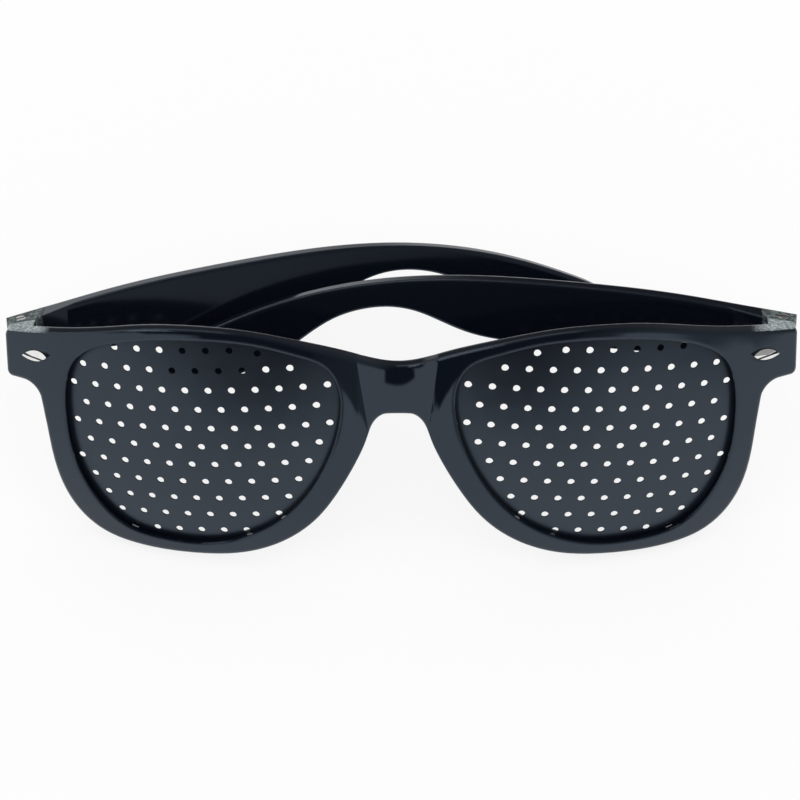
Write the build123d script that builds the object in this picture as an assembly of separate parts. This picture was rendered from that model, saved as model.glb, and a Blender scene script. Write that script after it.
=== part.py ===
# Pinhole glasses: a glossy black plastic front with two perforated domed lenses,
# and two temples that turn on screws and lie folded behind the front.
# Units are millimetres. Everything is drawn with the front upright first: X runs across,
# Y runs back towards the wearer, Z runs up. At the end the whole is leaned back until
# it stands on both rims and on the outer temple, the way it lies on a table.
from build123d import *
import math
import os

# Lenses
aperture_width = 51.6
aperture_height = 42.6
aperture_x = 36.4
aperture_z = -0.1
lens_thickness = 0.6
lens_radius = 90.0
lens_wrap = 5.2
lens_play = 0.05
dome_z = 1.0
# points around the opening, in half widths and half heights from its middle
aperture_shares = [
    (1.0, 0.2), (0.985, 0.47), (0.915, 0.7), (0.756, 0.85), (0.5, 0.945), (0.02, 1.0),
    (-0.44, 0.955), (-0.72, 0.86), (-0.89, 0.765), (-0.975, 0.62), (-0.996, 0.3),
    (-0.87, -0.19), (-0.713, -0.505), (-0.44, -0.81), (0.02, -1.0), (0.32, -0.985),
    (0.59, -0.9), (0.79, -0.68), (0.93, -0.36), (0.985, -0.08),
]

# Pinholes, a triangular grid of parallel holes a little wider behind than in front
hole_pitch = 4.35
hole_diameter = 1.3
hole_flare = 0.12
grid_x = 34.4
grid_tilt = 2.4
row_pitch = hole_pitch * math.sqrt(3) / 2
# where each row starts and ends, in pitches away from the nose, from the top row down
row_shares = [
    (-2, 4), (-3.5, 5.5), (-5, 6), (-4.5, 5.5), (-5, 6), (-4.5, 5.5),
    (-4, 6), (-3.5, 5.5), (-3, 5), (-2.5, 4.5), (-1, 4),
]
middle_row = 5
# the first hole of the top row strays towards the nose and down
stray_across = 0.8
stray_down = 0.7

# Front
half_width = 73.75
front_height = 47.2
rim_depth = 3.0
rim_stand = 1.6
groove_depth = 0.8
rim_edge = 0.7
brow_edge = 0.6
boss_edge = 0.5
aperture_edge = 0.3
end_top = 17.9
end_bottom = 9.05
end_corner = 1.2
end_heel = 3.4
bridge_top = 15.3
bridge_bottom = 6.0
bridge_dip = 1.2
bridge_depth = 3.2
crease_x = 7.0
crease_softness = 5.0
# points from the bridge down to the lowest point, from there up to the end piece,
# and along the top back to the bridge, in half widths across and front heights up
nose_shares = [
    (0.03, 0.1271), (0.057, 0.106), (0.079, 0.033), (0.102, -0.053), (0.148, -0.186),
    (0.212, -0.328), (0.303, -0.44), (0.412, -0.5), (0.53, -0.513),
]
cheek_shares = [
    (0.674, -0.498), (0.78, -0.443), (0.845, -0.337), (0.877, -0.22), (0.892, -0.1), (0.903, 0.053),
]
brow_shares = [
    (0.83, 0.424), (0.743, 0.449), (0.626, 0.48), (0.52, 0.489), (0.405, 0.481),
    (0.226, 0.427), (0.102, 0.367), (0.045, 0.334),
]
heel_share = 0.915
shoulder_share = 0.925
shoulder_rise_share = 0.399

# Nose rests, moulded on the back of the rims
rest_length = 13.0
rest_width = 3.6
rest_rise = 3.8
rest_sink = 0.6
rest_x = 10.1
rest_z = -3.0
rest_lean = 25.0
rest_splay = 12.0

# Hinges: a lug on the front between two ears on the temple
hinge_x = 71.65
hinge_z = 13.4
hinge_gap = 2.75
boss_back = 16.1
boss_width = 5.4
lug_height = 2.8
lug_radius = 1.7
ear_radius = 2.3
ear_play = 0.1
turn_play = 0.25
screw_diameter = 1.2
screw_play = 0.05
screw_head_diameter = 2.2
screw_head_height = 0.6
screw_head_proud = 0.25
screw_slot_width = 0.4
screw_slot_depth = 0.3
screw_short = 0.5

# Temples
temple_reach = 115.2
temple_height = 12.4
temple_thickness = 3.0
temple_bow_radius = 250.0
temple_outside = 2.4
temple_edge = 0.7
temple_top = 17.5
temple_foot = 9.3
butt_corner = 0.4
ear_run = 9.0
fold_right = 29.5
fold_left = 16.0
# points along the top edge to the tip and back along the foot,
# in reaches from the hinge and in temple heights up
temple_shares = [
    (0.05, 1.46), (0.174, 1.563), (0.347, 1.654), (0.474, 1.703), (0.6, 1.698),
    (0.724, 1.57), (0.845, 1.275), (0.94, 0.905), (0.984, 0.65), (1.0, 0.38),
    (0.985, 0.14), (0.95, 0.06), (0.885, 0.161), (0.842, 0.33), (0.805, 0.55),
    (0.764, 0.85), (0.724, 1.085), (0.685, 1.205), (0.641, 1.24), (0.6, 1.165),
    (0.558, 0.985), (0.512, 0.795), (0.46, 0.69), (0.347, 0.645), (0.174, 0.62),
    (0.05, 0.71),
]

# Studs
stud_length = 5.5
stud_width = 2.05
stud_rise = 0.7
stud_base = 0.3
stud_x = 67.5
stud_z = 14.6
stud_tilt = 6.0
stud_seat = 0.15
pin_diameter = 1.2
pin_length = 1.2
pin_play = 0.02

overrun = 10.0
edge_share = 0.98
lean_rounds = 24
most_lean = 60
mesh_tolerance = 0.05

# Derived places
wrap = math.radians(lens_wrap)
dome_x = grid_x - lens_radius * math.sin(wrap)
dome_y = lens_radius * math.cos(wrap)
front_radius = lens_radius + rim_stand
back_radius = front_radius - rim_depth
hinge_y = boss_back + hinge_gap
side_limit = half_width + end_corner
mirror_plane = Plane.YZ


def arc_y(radius, x):
    return dome_y - math.sqrt(radius ** 2 - (x - dome_x) ** 2)


def face_y(radius, x, z):
    return dome_y - math.sqrt(radius ** 2 - (x - dome_x) ** 2 - (z - dome_z) ** 2)


def prism(points_face):
    return extrude(points_face, amount=half_width, dir=(0, 1, 0))


def ball(radius):
    return Pos(dome_x, dome_y, dome_z) * Sphere(radius)


def behind(x, z):
    return (x, -overrun, z)


def dome(radius, middle_y, limit):
    inner = (crease_x, arc_y(radius, crease_x), dome_z)
    outer = (limit, arc_y(radius, limit), dome_z)
    side = [
        ThreePointArc(inner, (dome_x, arc_y(radius, dome_x), dome_z), outer),
        Line(outer, (limit, dome_y, dome_z)),
        Line((limit, dome_y, dome_z), (0, dome_y, dome_z)),
    ]
    other = [mirror(line, about=mirror_plane) for line in side]
    valley = ThreePointArc((-crease_x, inner[1], dome_z), (0, middle_y, dome_z), inner)
    profile = make_face([*side, *other, valley])
    creases = [v for v in profile.vertices() if abs(abs(v.X) - crease_x) < lens_play]
    profile = fillet(creases, crease_softness)
    axis = Axis((0, dome_y, dome_z), (1, 0, 0))
    return revolve(profile, axis=axis).rotate(axis, 90)


def smooth(points, start, end):
    return Spline(points, tangents=[start, end], tangent_scalars=(1, 1))


def outline_points(shares):
    return [behind(a * half_width, b * front_height) for a, b in shares]


def outline_face():
    middle = behind(0, bridge_bottom)
    nose = outline_points(nose_shares)
    cheek = [nose[-1]] + outline_points(cheek_shares)
    heel = behind(heel_share * half_width, end_bottom)
    rise = (heel[0] - cheek[-1][0], 0, heel[2] - cheek[-1][2])
    foot = behind(half_width, end_bottom)
    corner = behind(half_width, end_top)
    shoulder = behind(shoulder_share * half_width, shoulder_rise_share * front_height)
    slope = (shoulder[0] - corner[0], 0, shoulder[2] - corner[2])
    brow = [shoulder] + outline_points(brow_shares) + [behind(0, bridge_top)]
    lines = [
        Line(middle, nose[0]),
        smooth(nose, (1, 0, 0), (1, 0, 0)),
        smooth(cheek, (1, 0, 0), rise),
        Line(cheek[-1], heel),
        Line(heel, foot),
        Line(foot, corner),
        Line(corner, shoulder),
        smooth(brow, slope, (-1, 0, 0)),
    ]
    outline = make_face(lines + [mirror(line, about=mirror_plane) for line in lines])
    outer = [v for v in outline.vertices() if abs(v.X) > half_width - lens_play]
    outline = fillet(outer, end_corner)
    inner = [v for v in outline.vertices() if abs(abs(v.X) - heel[0]) + abs(v.Z - heel[2]) < lens_play]
    return fillet(inner, end_heel)


def aperture_face(margin):
    wide = aperture_width / 2 + margin
    tall = aperture_height / 2 + margin
    points = [behind(aperture_x + a * wide, aperture_z + b * tall) for a, b in aperture_shares]
    return make_face(Spline(points, periodic=True))


def shell_between(outer_radius, inner_radius):
    return ball(outer_radius) - ball(inner_radius)


def make_lens():
    blank = prism(aperture_face(groove_depth - lens_play))
    blank = blank & shell_between(lens_radius, lens_radius - lens_thickness)
    grid = Pos(grid_x, 0, 0) * Rot(0, 0, lens_wrap) * Rot(0, grid_tilt, 0)
    radius = hole_diameter / 2
    holes = []
    for row, (first, last) in enumerate(row_shares):
        height = (middle_row - row) * row_pitch
        for step in range(int(last - first) + 1):
            spot = grid * Pos((first + step) * hole_pitch, 0, height)
            if row == 0 and step == 0:
                spot = spot * Pos(-stray_across, 0, -stray_down)
            place = spot.position
            sag = (face_y(lens_radius, place.X, place.Z) - place.Y) / math.cos(wrap)
            cone = Cone(radius - hole_flare, radius + hole_flare * 3, lens_thickness * 4)
            middle = sag + lens_thickness
            holes.append(spot * Pos(0, middle, 0) * Rot(-90, 0, 0) * cone)
    return blank - holes


def on_face(edge, radius):
    middle = edge.position_at(0.5)
    reach = (middle - Vector(dome_x, dome_y, dome_z)).length
    other = (middle - Vector(-dome_x, dome_y, dome_z)).length
    return min(abs(reach - radius), abs(other - radius)) < lens_play


def on_outline(edge, outline):
    middle = edge.position_at(0.5)
    flat = Vector(*behind(middle.X, middle.Z))
    across = abs(edge.tangent_at(0.5).Y) > edge_share
    return not across and outline.distance_to(flat) < lens_play


def is_front(edge):
    middle = edge.position_at(0.5)
    return middle.Y - face_y(front_radius, abs(middle.X), middle.Z) < rim_depth / 3


def is_boss(edge):
    return abs(edge.position_at(0.5).Y - boss_back) < lens_play


def is_brow(edge):
    middle = edge.position_at(0.5)
    return middle.Z > bridge_bottom + lens_play and abs(middle.X) < shoulder_share * half_width


def is_aperture(edge):
    middle = edge.position_at(0.5)
    across = abs(abs(middle.X) - aperture_x) < aperture_width / 2 + lens_play
    up = abs(middle.Z - aperture_z) < aperture_height / 2 + lens_play
    return across and up and abs(edge.tangent_at(0.5).Y) < edge_share and edge.length > aperture_height


def make_blank():
    face = outline_face()
    outline = face.face().outer_wire()
    dip_y = arc_y(front_radius, crease_x) + bridge_dip
    body = extrude(face, amount=overrun + boss_back, dir=(0, 1, 0))
    body = body & dome(front_radius, dip_y, side_limit)
    body = body - dome(back_radius, dip_y + bridge_depth, half_width - boss_width)
    body = fillet([e for e in body.edges() if on_outline(e, outline) and is_front(e)], rim_edge)
    body = fillet([e for e in body.edges() if is_boss(e)], boss_edge)
    back = [e for e in body.edges() if on_outline(e, outline) and not is_front(e)]
    back = [e for e in back if e.position_at(0.5).Y < boss_back - boss_edge * 2]
    brow = [e for e in back if is_brow(e) and e.position_at(0.5).Z > end_bottom]
    return fillet(brow, brow_edge)


def make_rest():
    bulge = scale(Sphere(1), by=(rest_width / 2, rest_rise + rest_sink, rest_length / 2))
    bulge = bulge & (Pos(0, rest_length, 0) * Box(rest_length * 2, rest_length * 2, rest_length * 2))
    y = face_y(back_radius, rest_x, rest_z) - rest_sink
    return Pos(rest_x, y, rest_z) * Rot(0, 0, -rest_splay) * Rot(0, -rest_lean, 0) * bulge


def make_lug():
    reach = hinge_gap + boss_edge * 2
    arm = Box(lug_radius * 2, reach, lug_height)
    arm = Pos(hinge_x, hinge_y - reach / 2, hinge_z) * arm
    knuckle = Pos(hinge_x, hinge_y, hinge_z) * Cylinder(lug_radius, lug_height)
    hole = Pos(hinge_x, hinge_y, hinge_z) * Cylinder(screw_diameter / 2 + screw_play, lug_height)
    return arm + knuckle - hole


def place_stud(shape):
    y = face_y(front_radius, stud_x, stud_z)
    yaw = math.degrees(math.asin((stud_x - dome_x) / front_radius))
    pitch = math.degrees(math.asin((stud_z - dome_z) / front_radius))
    stand = Rot(0, 0, yaw) * Rot(90 - pitch, 0, 0) * Rot(0, 0, -stud_tilt)
    return Pos(stud_x, y, stud_z) * stand * shape


def pointed_oval(length, width):
    bow = (length ** 2 + width ** 2) / width / 4
    drop = bow - width / 2
    return (Pos(0, drop) * Circle(bow)) & (Pos(0, -drop) * Circle(bow))


def make_stud():
    foot = Pos(0, 0, -stud_seat) * extrude(pointed_oval(stud_length, stud_width), stud_seat + stud_rise)
    side = stud_width / 2
    roof = Plane.YZ * make_face(Polyline((-side, -side), (-side, stud_base), (0, stud_rise),
                                         (side, stud_base), (side, -side), close=True))
    roof = extrude(roof, amount=stud_length, both=True)
    pin = Pos(0, 0, -pin_length / 2) * Cylinder(pin_diameter / 2, pin_length)
    return place_stud((foot & roof) + pin)


def stud_seat_cut():
    wide = pointed_oval(stud_length + lens_play * 2, stud_width + lens_play * 2)
    seat = Pos(0, 0, -stud_seat) * extrude(wide, stud_seat + stud_rise)
    hole = Pos(0, 0, -pin_length / 2) * Cylinder(pin_diameter / 2 + pin_play, pin_length + pin_play)
    return place_stud(seat + hole)


def make_front():
    body = make_blank()
    opening = prism(aperture_face(0))
    body = body - opening - mirror(opening, about=mirror_plane)
    rims = [e for e in body.edges() if is_front(e) and is_aperture(e)]
    body = fillet(rims, aperture_edge)
    groove = prism(aperture_face(groove_depth))
    groove = groove & shell_between(lens_radius + lens_play, lens_radius - lens_thickness - lens_play)
    body = body - groove - mirror(groove, about=mirror_plane)
    added = make_lug() + make_rest()
    body = body + added + mirror(added, about=mirror_plane)
    seat = stud_seat_cut()
    return body - seat - mirror(seat, about=mirror_plane)


def temple_side():
    points = [(a * temple_reach, -temple_reach, b * temple_height) for a, b in temple_shares]
    top = (-ear_radius, -temple_reach, temple_top)
    foot = (-ear_radius, -temple_reach, temple_foot)
    away = Vector(*points[0]) - Vector(*top)
    home = Vector(*foot) - Vector(*points[-1])
    lines = [
        Line(foot, top),
        Line(top, points[0]),
        smooth(points, away, home),
        Line(points[-1], foot),
    ]
    return extrude(make_face(lines), amount=temple_reach * 2, dir=(0, 1, 0))


def temple_plan():
    low = temple_foot - temple_height
    centre = (0, -temple_bow_radius)
    outer = temple_bow_radius + temple_outside
    inner = outer - temple_thickness
    tip = temple_reach + ear_radius
    band = Pos(*centre) * (Circle(outer) - Circle(inner))
    window = Pos(tip / 2, -temple_reach / 2) * Rectangle(tip, temple_reach + temple_outside * 4)
    band = band & window
    run_y = math.sqrt(inner ** 2 - ear_run ** 2) - temple_bow_radius
    reach = math.sqrt(ear_run ** 2 + (ear_radius + run_y) ** 2)
    wedge = make_face(Polyline((-ear_radius, 0), (-ear_radius, temple_outside - butt_corner),
                               (butt_corner - ear_radius, temple_outside), (0, temple_outside),
                               (ear_run, 0), (ear_run, run_y), (0, -ear_radius), close=True))
    knuckle = Circle(ear_radius)
    plan = band + wedge + knuckle
    return Pos(0, 0, low) * extrude(plan, temple_height * 3)


def bow_distance(edge):
    middle = edge.position_at(0.5)
    return math.hypot(middle.X, middle.Y + temple_bow_radius) - temple_bow_radius


def make_temple():
    body = temple_side() & temple_plan()
    for offset in (temple_outside, temple_outside - temple_thickness):
        rims = [e for e in body.edges() if abs(bow_distance(e) - offset) < lens_play]
        rims = [e for e in rims if abs(e.tangent_at(0.5).Z) < edge_share]
        body = fillet(rims, temple_edge)
    slot_height = lug_height + ear_play * 2
    swing = lug_radius + turn_play
    slot = Pos(0, 0, hinge_z) * Cylinder(swing, slot_height)
    reach = ear_radius * 2
    slot = slot + Pos(-reach / 2, 0, hinge_z) * Box(reach, reach * 2, slot_height)
    slot = slot + Pos((swing - reach) / 2, -reach / 2, hinge_z) * Box(swing + reach, reach, slot_height)
    hole = Pos(0, 0, hinge_z) * Cylinder(screw_diameter / 2, temple_height)
    bore = screw_diameter / 2 + screw_play
    upper = Pos(0, 0, hinge_z + temple_height / 2) * Cylinder(bore, temple_height)
    sink = Pos(0, 0, screw_top() - screw_head_height + temple_height / 2)
    sink = sink * Cylinder(screw_head_diameter / 2 + screw_play, temple_height)
    return body - slot - hole - upper - sink


def screw_top():
    return temple_top + screw_head_proud


def make_screw():
    head = Cylinder(screw_head_diameter / 2, screw_head_height)
    head = fillet(head.edges().group_by(Axis.Z)[-1], screw_head_height / 3)
    head = head - Pos(0, 0, screw_head_height / 2) * Box(
        screw_head_diameter * 2, screw_slot_width, screw_slot_depth * 2)
    head = Pos(0, 0, screw_top() - screw_head_height / 2) * head
    length = screw_top() - screw_head_height - temple_foot - screw_short
    shank = Cylinder(screw_diameter / 2, length)
    return head + Pos(0, 0, temple_foot + screw_short + length / 2) * shank


def mesh_points(shapes):
    return [point for shape in shapes for point in shape.tessellate(mesh_tolerance)[0]]


def low_point(points, lean):
    angle = math.radians(lean)
    return min(point.Z * math.cos(angle) - point.Y * math.sin(angle) for point in points)


def resting_lean(front, temples):
    low, high = 0, most_lean
    for _ in range(lean_rounds):
        lean = (low + high) / 2
        if low_point(temples, lean) > low_point(front, lean):
            low = lean
        else:
            high = lean
    return (low + high) / 2


def hinged(shape, fold):
    return Pos(-hinge_x, hinge_y, 0) * Rot(0, 0, fold) * shape


def flip(shape):
    return mirror(shape, about=mirror_plane)


temple = make_temple()
screw = make_screw()
lens = make_lens()
stud = make_stud()
nodes = {
    "frame_front": make_front(),
    "lens_right": flip(lens),
    "lens_left": lens,
    "stud_right": flip(stud),
    "stud_left": stud,
    "temple_right": hinged(temple, fold_right),
    "temple_left": flip(hinged(temple, fold_left)),
    "hinge_screw_right": hinged(screw, fold_right),
    "hinge_screw_left": flip(hinged(screw, fold_left)),
}

# Lean everything back on the rims and the outer temple, then move the middle of the
# foot of its box to the origin
front_points = mesh_points([nodes["frame_front"]])
temple_meshes = mesh_points([nodes["temple_right"], nodes["temple_left"]])
lean = resting_lean(front_points, temple_meshes)
leaning = Rot(-lean, 0, 0)
box = Compound(children=[leaning * shape for shape in nodes.values()]).bounding_box()
home = Pos(-(box.min.X + box.max.X) / 2, -(box.min.Y + box.max.Y) / 2, -box.min.Z) * leaning

if __name__ == "__main__":
    os.makedirs("parts", exist_ok=True)
    for name, shape in nodes.items():
        export_step(home * shape, f"parts/{name}.step")
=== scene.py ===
import math

import bpy
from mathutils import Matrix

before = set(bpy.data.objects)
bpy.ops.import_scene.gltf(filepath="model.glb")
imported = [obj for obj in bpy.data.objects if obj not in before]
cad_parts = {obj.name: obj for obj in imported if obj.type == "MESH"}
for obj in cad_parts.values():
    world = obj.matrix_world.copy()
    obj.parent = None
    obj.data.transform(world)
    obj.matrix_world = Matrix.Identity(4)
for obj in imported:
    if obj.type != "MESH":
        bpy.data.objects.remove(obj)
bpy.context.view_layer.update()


# Camera, at the photograph's angle

FOCAL_LENGTH = 114.705
SENSOR_WIDTH = 36.0
NEAREST = 0.01
FURTHEST = 20.0
CAMERA_PLACE = (0.01674, -0.28203, 0.41601)
CAMERA_TURN = (34.6966, 1.6834, 1.0701)


def set_camera():
    data = bpy.data.cameras.new("camera")
    data.lens = FOCAL_LENGTH
    data.sensor_width = SENSOR_WIDTH
    data.clip_start = NEAREST
    data.clip_end = FURTHEST
    camera = bpy.data.objects.new("camera", data)
    camera.location = CAMERA_PLACE
    camera.rotation_euler = [math.radians(angle) for angle in CAMERA_TURN]
    bpy.context.scene.collection.objects.link(camera)
    bpy.context.scene.camera = camera


# The lean of the front, and the point in it that finishes are measured from

LEAN = math.radians(28.4284)
UPRIGHT = (0.0, math.sin(LEAN), math.cos(LEAN))
AHEAD = (0.0, -math.cos(LEAN), math.sin(LEAN))
HOME = (0.0001122, -0.0216274, 0.0243988)


# Shader nodes

WHITE = (1.0, 1.0, 1.0, 1.0)
NO_LIGHT = (0.0, 0.0, 0.0, 1.0)
BEVEL_SAMPLES = 6


class Val:
    """A value in a material, written in plain arithmetic."""

    def __init__(self, recipe, socket):
        self.recipe = recipe
        self.socket = socket

    def maths(self, operation, *terms):
        return self.recipe.value("ShaderNodeMath", {"operation": operation}, dict(enumerate(terms)))

    def __add__(self, other):
        return self.maths("ADD", self, other)

    def __radd__(self, other):
        return self.maths("ADD", other, self)

    def __sub__(self, other):
        return self.maths("SUBTRACT", self, other)

    def __rsub__(self, other):
        return self.maths("SUBTRACT", other, self)

    def __mul__(self, other):
        return self.maths("MULTIPLY", self, other)

    def __rmul__(self, other):
        return self.maths("MULTIPLY", other, self)

    def __truediv__(self, other):
        return self.maths("DIVIDE", self, other)

    def grown(self):
        """e to the power of the value."""
        return self.maths("EXPONENT", self)

    def size(self):
        """The value without its sign."""
        return self.maths("ABSOLUTE", self)

    def step(self, low, high):
        """Rise smoothly from 0 at low to 1 at high."""
        settings = {"interpolation_type": "SMOOTHSTEP"}
        return self.recipe.value("ShaderNodeMapRange", settings, {0: self, 1: low, 2: high})

    def covered(self, mask, level):
        """The value, with another level laid over it where the mask is 1."""
        return self + mask * (level - self)


class Recipe:
    """The nodes of one material, or of the world."""

    def __init__(self, owner, output):
        owner.use_nodes = True
        self.owner = owner
        self.tree = owner.node_tree
        self.tree.nodes.clear()
        self.output = self.add(output)

    def add(self, kind, settings=None, inputs=None):
        node = self.tree.nodes.new(kind)
        for key, setting in (settings or {}).items():
            setattr(node, key, setting)
        for key, source in (inputs or {}).items():
            self.feed(node.inputs[key], source)
        return node

    def feed(self, socket, source):
        if isinstance(source, Val):
            source = source.socket
        if isinstance(source, bpy.types.NodeSocket):
            self.tree.links.new(source, socket)
        else:
            socket.default_value = source

    def value(self, kind, settings=None, inputs=None):
        return Val(self, self.add(kind, settings, inputs).outputs[0])

    def place(self):
        return self.add("ShaderNodeTexCoord").outputs["Object"]

    def parts(self, vector):
        return [Val(self, part) for part in self.add("ShaderNodeSeparateXYZ", None, {0: vector}).outputs]

    def upright(self):
        """Across, back and up on the front as it stands when worn, in metres from HOME."""
        x, y, z = [part - start for part, start in zip(self.parts(self.place()), HOME)]
        return x, y * math.cos(LEAN) - z * math.sin(LEAN), y * math.sin(LEAN) + z * math.cos(LEAN)

    def noise(self, scale, detail=3.0, roughness=0.5):
        inputs = {"Vector": self.place(), "Scale": scale, "Detail": detail, "Roughness": roughness}
        return self.value("ShaderNodeTexNoise", None, inputs)

    def mix(self, factor, first, second):
        settings = {"data_type": "RGBA"}
        return self.add("ShaderNodeMix", settings, {0: factor, 6: first, 7: second}).outputs[2]

    def vector(self, operation, *terms):
        settings = {"operation": operation}
        return self.add("ShaderNodeVectorMath", settings, dict(enumerate(terms))).outputs

    def facing(self, way):
        """1 on a face that looks that way, 0 on one square to it, and -1 on its back."""
        normal = self.add("ShaderNodeTexCoord").outputs["Normal"]
        return Val(self, self.vector("DOT_PRODUCT", normal, way)["Value"])

    def rounded(self, radius):
        return self.add("ShaderNodeBevel", {"samples": BEVEL_SAMPLES}, {"Radius": radius}).outputs[0]

    def bump(self, height, distance, normal=None):
        inputs = {"Height": height, "Distance": distance}
        if normal is not None:
            inputs["Normal"] = normal
        return self.add("ShaderNodeBump", None, inputs).outputs[0]

    def tilted(self, normal, rise, way=UPRIGHT):
        """Tip the normal towards the brow, or another way square to the glasses' width."""
        push = self.add("ShaderNodeCombineXYZ", None, {1: rise * way[1], 2: rise * way[2]})
        turn = {"vector_type": "VECTOR", "convert_from": "OBJECT", "convert_to": "WORLD"}
        push = self.add("ShaderNodeVectorTransform", turn, {"Vector": push.outputs[0]})
        bent = self.vector("ADD", normal, push.outputs[0])[0]
        return self.vector("NORMALIZE", bent)[0]

    def rays(self):
        """Masks of the rays from the camera, from a gloss, and through something clear."""
        path = self.add("ShaderNodeLightPath")
        kinds = ("Is Camera Ray", "Is Glossy Ray", "Is Transmission Ray")
        return [Val(self, path.outputs[kind]) for kind in kinds]

    def show(self, shader):
        self.feed(self.output.inputs["Surface"], shader.outputs[0])
        return self.owner

    def finish(self, **inputs):
        """A Principled surface; an underscore in an input's name stands for its space."""
        inputs = {name.replace("_", " "): source for name, source in inputs.items()}
        return self.show(self.add("ShaderNodeBsdfPrincipled", None, inputs))


def material_recipe(name):
    return Recipe(bpy.data.materials.new(name), "ShaderNodeOutputMaterial")


# Black plastic

BLACK = (0.0028, 0.0046, 0.0085, 1.0)
DUST = (0.04, 0.046, 0.055, 1.0)
# Bluish tint on every reflection of the black plastic: painted light colour, standing in for the bluish
# light of the room.
BLUE_LIGHT_GLOSS_TINT = (0.66, 0.81, 1.0, 1.0)
PLASTIC_IOR = 1.6
SPECK_EDGE = (0.66, 0.78)
SMEAR_EDGE = (0.35, 0.75)
RIPPLE_SCALE = 45.0
RIPPLE_DEPTH = 0.0001


def dusty_black(r, share):
    """Black with specks of dust, where a share of 1 is the palest dust."""
    specks = r.noise(scale=900.0, detail=6.0, roughness=0.75).step(*SPECK_EDGE)
    return r.mix(specks * share, BLACK, DUST)


def smears(r, gloss, depth):
    """Roughness of a polish that is wiped duller in broad patches."""
    return gloss + r.noise(scale=55.0, detail=4.0, roughness=0.6).step(*SMEAR_EDGE) * depth


# Front

FRONT_DUST = 0.2
FRONT_GLOSS = 0.03
FRONT_SMEAR = 0.04
FRONT_ROUND = 0.0008
CREASE_FOOT = 0.005
CREASE_SLOPE = 0.144
CREASE_EDGE = (-0.0001, 0.0001)
SCOOP_START = 0.0067
SCOOP_FADE = 0.006
SCOOP_TILT = 0.21
TOP_EDGE = (0.7, 0.85)
TOP_TILT = 0.1
# Upward faces of the hinge shelves: a painted highlight in two pale tones, mixed by a wear noise that
# also scuffs their bump.
SHELF_EDGE = (0.0645, 0.0685)
SHELF_WEAR_AND_HIGHLIGHT_EDGE = (0.4, 0.6)
SHELF_PAINTED_HIGHLIGHT = (0.5, 0.54, 0.57, 1.0)
SHELF_DULL = 0.4
# Grey-green grain at the hinges: a dark tone and a pale tone, the pale one a painted sheen of light on
# the matte cast surface.
HINGE_DARK = (0.012, 0.018, 0.017, 1.0)
HINGE_PAINTED_SHEEN = (0.16, 0.2, 0.185, 1.0)


def front_finish():
    """Polished black: a flat bridge panel, a scooped brow beside it, dull hinge shelves with a painted
    highlight.
    """
    r = material_recipe("front_black")
    x, _, z = r.upright()
    off_middle = x.size()
    past_crease = (off_middle - CREASE_FOOT - z * CREASE_SLOPE).step(*CREASE_EDGE)
    scoop = ((SCOOP_START - off_middle) / SCOOP_FADE).grown() * past_crease * SCOOP_TILT
    top = r.facing(UPRIGHT).step(*TOP_EDGE)
    # Painted highlight: the shelf mask marks upward faces at the hinges, which are coloured pale instead
    # of black.
    shelf = off_middle.step(*SHELF_EDGE) * top
    wear = r.noise(scale=1800.0, detail=5.0, roughness=0.7).step(*SHELF_WEAR_AND_HIGHLIGHT_EDGE)
    ripple = r.noise(scale=RIPPLE_SCALE, detail=2.0)
    normal = r.bump(ripple + wear * shelf, RIPPLE_DEPTH, r.rounded(FRONT_ROUND))
    normal = r.tilted(normal, scoop)
    normal = r.tilted(normal, (top - shelf) * TOP_TILT, AHEAD)
    return r.finish(
        Base_Color=r.mix(shelf, dusty_black(r, FRONT_DUST), r.mix(wear, SHELF_PAINTED_HIGHLIGHT, HINGE_PAINTED_SHEEN)),
        Roughness=smears(r, FRONT_GLOSS, FRONT_SMEAR) + shelf * SHELF_DULL,
        IOR=PLASTIC_IOR,
        Specular_Tint=BLUE_LIGHT_GLOSS_TINT,
        Normal=normal)


# Lenses

LENS_DUST = 0.3
LENS_GLOSS = 0.3
LENS_SMEAR = 0.08
LENS_IOR = 1.68
LENS_TILT = 0.065
WALL_EDGE = (0.3, 0.6)
WALL_DULL = 0.6


def lens_finish():
    """Satin black, cupped towards the brow, with fine dust and dull walls in the pinholes."""
    r = material_recipe("lens_black")
    wall = 1.0 - r.facing(AHEAD).size().step(*WALL_EDGE)
    normal = r.bump(r.noise(scale=60.0, detail=3.0), RIPPLE_DEPTH)
    return r.finish(
        Base_Color=dusty_black(r, LENS_DUST),
        Roughness=smears(r, LENS_GLOSS, LENS_SMEAR) + wall * WALL_DULL,
        IOR=LENS_IOR,
        Specular_Tint=BLUE_LIGHT_GLOSS_TINT,
        Normal=r.tilted(normal, LENS_TILT))


# Temples

TEMPLE_DUST = 0.25
TEMPLE_GLOSS = 0.08
TEMPLE_SMEAR = 0.05
TEMPLE_ROUND = 0.0004
TEMPLE_TILT = 0.32
CAST_EDGE = (0.0676, 0.0684)
CAST_PALE_EDGE = (0.4, 0.68)
CAST_DEPTH = 3.0
CAST_DULL = 0.35


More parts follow.
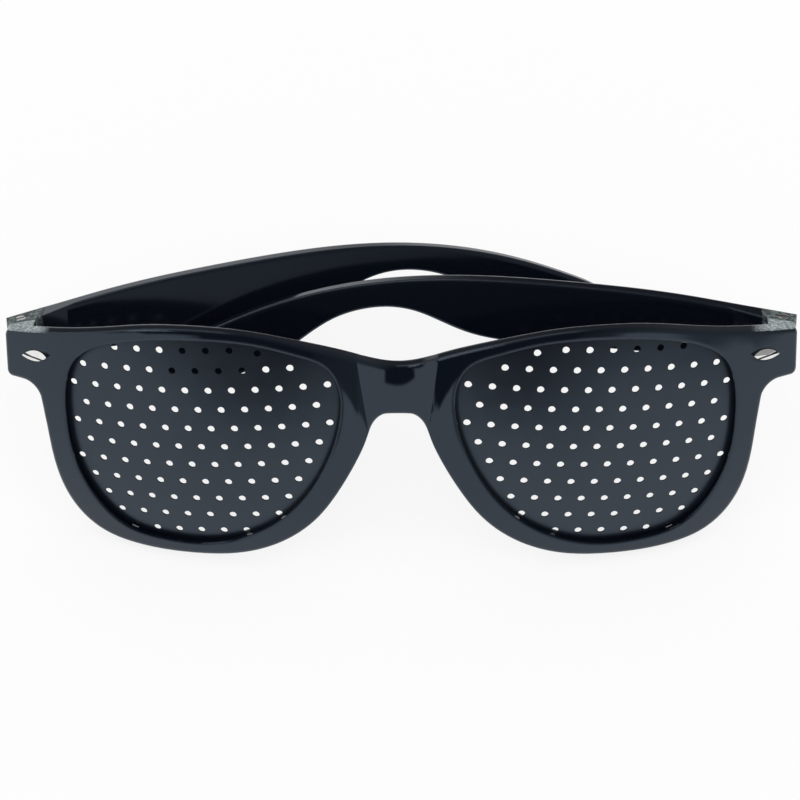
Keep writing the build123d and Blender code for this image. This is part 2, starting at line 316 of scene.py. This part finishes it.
def temple_finish():
    """Polished black blades that look up, with a coarse cast finish round the hinge, whose pale
    grey-green flecks are a painted sheen.
    """
    r = material_recipe("temple_black")
    cast = r.upright()[0].size().step(*CAST_EDGE)
    grain = r.noise(scale=1400.0, detail=4.0, roughness=0.7)
    # Painted sheen: the pale grey-green flecks stand in for light on the matte cast surface; the grain
    # and its bump are the surface's texture.
    grey_green = r.mix(grain.step(*CAST_PALE_EDGE), HINGE_DARK, HINGE_PAINTED_SHEEN)
    height = r.noise(scale=RIPPLE_SCALE, detail=2.0) + cast * grain * CAST_DEPTH
    normal = r.bump(height, RIPPLE_DEPTH, r.rounded(TEMPLE_ROUND))
    return r.finish(
        Base_Color=r.mix(cast, dusty_black(r, TEMPLE_DUST), grey_green),
        Roughness=smears(r, TEMPLE_GLOSS, TEMPLE_SMEAR) + cast * CAST_DULL,
        IOR=PLASTIC_IOR,
        Specular_Tint=BLUE_LIGHT_GLOSS_TINT,
        Normal=r.tilted(normal, TEMPLE_TILT))


# Studs and screws

STUD_X = 0.0675
STUD_Z = 0.0146
LEAF_LINE_DROP = 0.00025
LEAF_LINE_SLOPE = 0.2
LEAF_LINE_EDGE = (0.00008, 0.00024)
# Painted reflection: the dark colour of the line along the leaf.
LEAF_LINE_PAINTED_REFLECTION = (0.03, 0.03, 0.035, 1.0)
LEAF_LINE_DEPTH = 0.0002
LEAF_FOLD = (-0.0004, 0.0004)
LEAF_FOLD_TILT = 0.2
LEAF_LOWER_TILT = 0.12
STUD_SHADE = 0.9
STUD_GLOSS = 0.06
STUD_WEAR = 0.06
STEEL_SHADE = 0.6
STEEL_GLOSS = 0.22
STEEL_WEAR = 0.08


def worn_metal(r, shade, wear):
    """Metal that is a fifth darker where it is worn."""
    worn = (shade * 0.8, shade * 0.8, shade * 0.78, 1.0)
    bright = (shade, shade, shade * 0.98, 1.0)
    return r.mix(wear, worn, bright)


def metal_wear(r):
    return r.noise(scale=900.0, detail=5.0, roughness=0.6)


def stud_finish():
    """Polished silver, with one line cut along the leaf and a half on each side of it; the line's dark
    colour is a painted reflection.
    """
    r = material_recipe("stud_silver")
    x, _, z = r.upright()
    from_line = z - STUD_Z + LEAF_LINE_DROP - (x.size() - STUD_X) * LEAF_LINE_SLOPE
    # A groove along the leaf's fold, bumped in and painted dark: the dark is a painted reflection.
    groove_painted_dark = 1.0 - from_line.size().step(*LEAF_LINE_EDGE)
    wear = metal_wear(r)
    rise = from_line.step(*LEAF_FOLD) * LEAF_FOLD_TILT - LEAF_LOWER_TILT
    return r.finish(
        Base_Color=r.mix(groove_painted_dark, worn_metal(r, STUD_SHADE, wear), LEAF_LINE_PAINTED_REFLECTION),
        Metallic=1.0,
        Roughness=wear * STUD_WEAR + STUD_GLOSS,
        Normal=r.tilted(r.bump(groove_painted_dark * -1.0, LEAF_LINE_DEPTH), rise))


def steel_finish():
    r = material_recipe("screw_steel")
    wear = metal_wear(r)
    return r.finish(
        Base_Color=worn_metal(r, STEEL_SHADE, wear),
        Metallic=1.0,
        Roughness=wear * STEEL_WEAR + STEEL_GLOSS)


def dress(node, material):
    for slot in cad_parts[node].material_slots:
        slot.material = material


# Floor

FLOOR_HALF = 3.0
FLOOR_WHITE = 0.82
PAPER_DARK = (0.93, 0.93, 0.93, 1.0)
PAPER_PALE = (0.97, 0.97, 0.97, 1.0)
FAR_EDGE = (0.12, 0.25)
UNLIT_EDGE = (-0.2, 0.06)
UNLIT_SHARE = 0.95


def floor_paper():
    """White paper. In a gloss, it is dark far behind the glasses on the wearer's left."""
    r = material_recipe("floor_paper")
    x, y, _ = r.parts(r.place())
    seen, mirrored, through = r.rays()
    unlit = mirrored * y.step(*FAR_EDGE) * (x / y).step(*UNLIT_EDGE) * UNLIT_SHARE
    paper = r.mix(r.noise(scale=400.0, detail=4.0), PAPER_DARK, PAPER_PALE)
    shaded = r.add("ShaderNodeBsdfDiffuse", None, {"Color": r.mix(unlit, paper, NO_LIGHT)})
    glowing = r.add("ShaderNodeEmission", None, {"Color": r.mix(unlit, WHITE, NO_LIGHT)})
    share = (seen + mirrored + through) * FLOOR_WHITE
    halves = {0: share, 1: shaded.outputs[0], 2: glowing.outputs[0]}
    return r.show(r.add("ShaderNodeMixShader", None, halves))


def make_floor():
    corners = [(x * FLOOR_HALF, y * FLOOR_HALF, 0.0) for x, y in ((-1, -1), (1, -1), (1, 1), (-1, 1))]
    mesh = bpy.data.meshes.new("floor")
    mesh.from_pydata(corners, [], [(0, 1, 2, 3)])
    mesh.materials.append(floor_paper())
    floor = bpy.data.objects.new("floor", mesh)
    bpy.context.scene.collection.objects.link(floor)


# The room that a gloss mirrors, by direction: x to the wearer's left, y back and z up

DARK = 0.04
LEFT_EDGE = (0.0, 0.6)
RIGHT_EDGE = (0.52, 0.62)
SIDE_SLOPE = 0.915
SIDE_EDGE = (0.87, 0.91)
SIDE_LEVEL = 0.38
CEILING_EDGE = (0.445, 0.47)
CEILING_LIFT = 0.27
CEILING_LEFT_GLOW = 0.3
OPENING_SHIFT = 0.07
OPENING_HALF_EDGE = (0.23, 0.25)
OPENING_FOOT = (0.26, 0.275)
BEHIND_EDGE = (-0.1, 0.1)
BACK_EDGE = (0.15, 0.35)
BACK_FOOT = (-0.2, -0.14)
HORIZON = (0.0, 0.06)
BACK_WALL = 0.12
BACK_WALL_LEFT_GLOW = 0.2
STRIP_BACK = (0.2, 0.3)
STRIP_FOOT = (0.36, 0.4)
STRIP_HEAD = (0.8, 0.84)
STRIP_END = (-0.05, 0.05)
STRIP_LEVEL = 0.9
LAMP_WAY = (-0.46, 0.195, 0.866)
LAMP_EDGE = (0.985, 0.992)
LAMP_GLOSS = 3.0


def mirrored_room(r):
    """White walls that end under a dark ceiling, higher on the wearer's right, where a lamp shines.

    The upper left is half dim, a dark opening is in front, and the back is dark under a pale strip."""
    x, y, z = r.parts(r.add("ShaderNodeTexCoord").outputs["Generated"])
    leftness = x.step(*LEFT_EDGE)
    rightness = (x * -1.0).step(*RIGHT_EDGE)
    side = (z + x * SIDE_SLOPE).step(*SIDE_EDGE)
    room = 1.0 - side * (1.0 - SIDE_LEVEL)
    ceiling = (z - rightness * CEILING_LIFT).step(*CEILING_EDGE)
    room = room.covered(ceiling, DARK + leftness * CEILING_LEFT_GLOW)
    across = 1.0 - (x + OPENING_SHIFT).size().step(*OPENING_HALF_EDGE)
    opening = across * z.step(*OPENING_FOOT) * (1.0 - y.step(*BEHIND_EDGE))
    room = room.covered(opening, DARK)
    back = y.step(*BACK_EDGE)
    room = room.covered(back * z.step(*BACK_FOOT), 1.0 - x.step(*UNLIT_EDGE) * UNLIT_SHARE)
    room = room.covered(back * z.step(*HORIZON), BACK_WALL + leftness * BACK_WALL_LEFT_GLOW)
    band = z.step(*STRIP_FOOT) * (1.0 - z.step(*STRIP_HEAD))
    strip = y.step(*STRIP_BACK) * band * (1.0 - x.step(*STRIP_END))
    room = room.covered(strip, STRIP_LEVEL)
    towards_lamp = x * LAMP_WAY[0] + y * LAMP_WAY[1] + z * LAMP_WAY[2]
    return room + towards_lamp.step(*LAMP_EDGE) * LAMP_GLOSS


def set_light():
    """Even white light from all sides, and the room for what is mirrored in a gloss."""
    world = bpy.data.worlds.new("studio")
    bpy.context.scene.world = world
    r = Recipe(world, "ShaderNodeOutputWorld")
    mirrored = r.rays()[1]
    strength = 1.0 + mirrored * (mirrored_room(r) - 1.0)
    r.show(r.add("ShaderNodeBackground", None, {"Color": WHITE, "Strength": strength}))


set_camera()
dress("frame_front", front_finish())
lens_black = lens_finish()
temple_black = temple_finish()
stud_silver = stud_finish()
screw_steel = steel_finish()
for side in ("right", "left"):
    dress("lens_" + side, lens_black)
    dress("temple_" + side, temple_black)
    dress("stud_" + side, stud_silver)
    dress("hinge_screw_" + side, screw_steel)
make_floor()
set_light()

bpy.context.scene.view_settings.view_transform = "Standard"
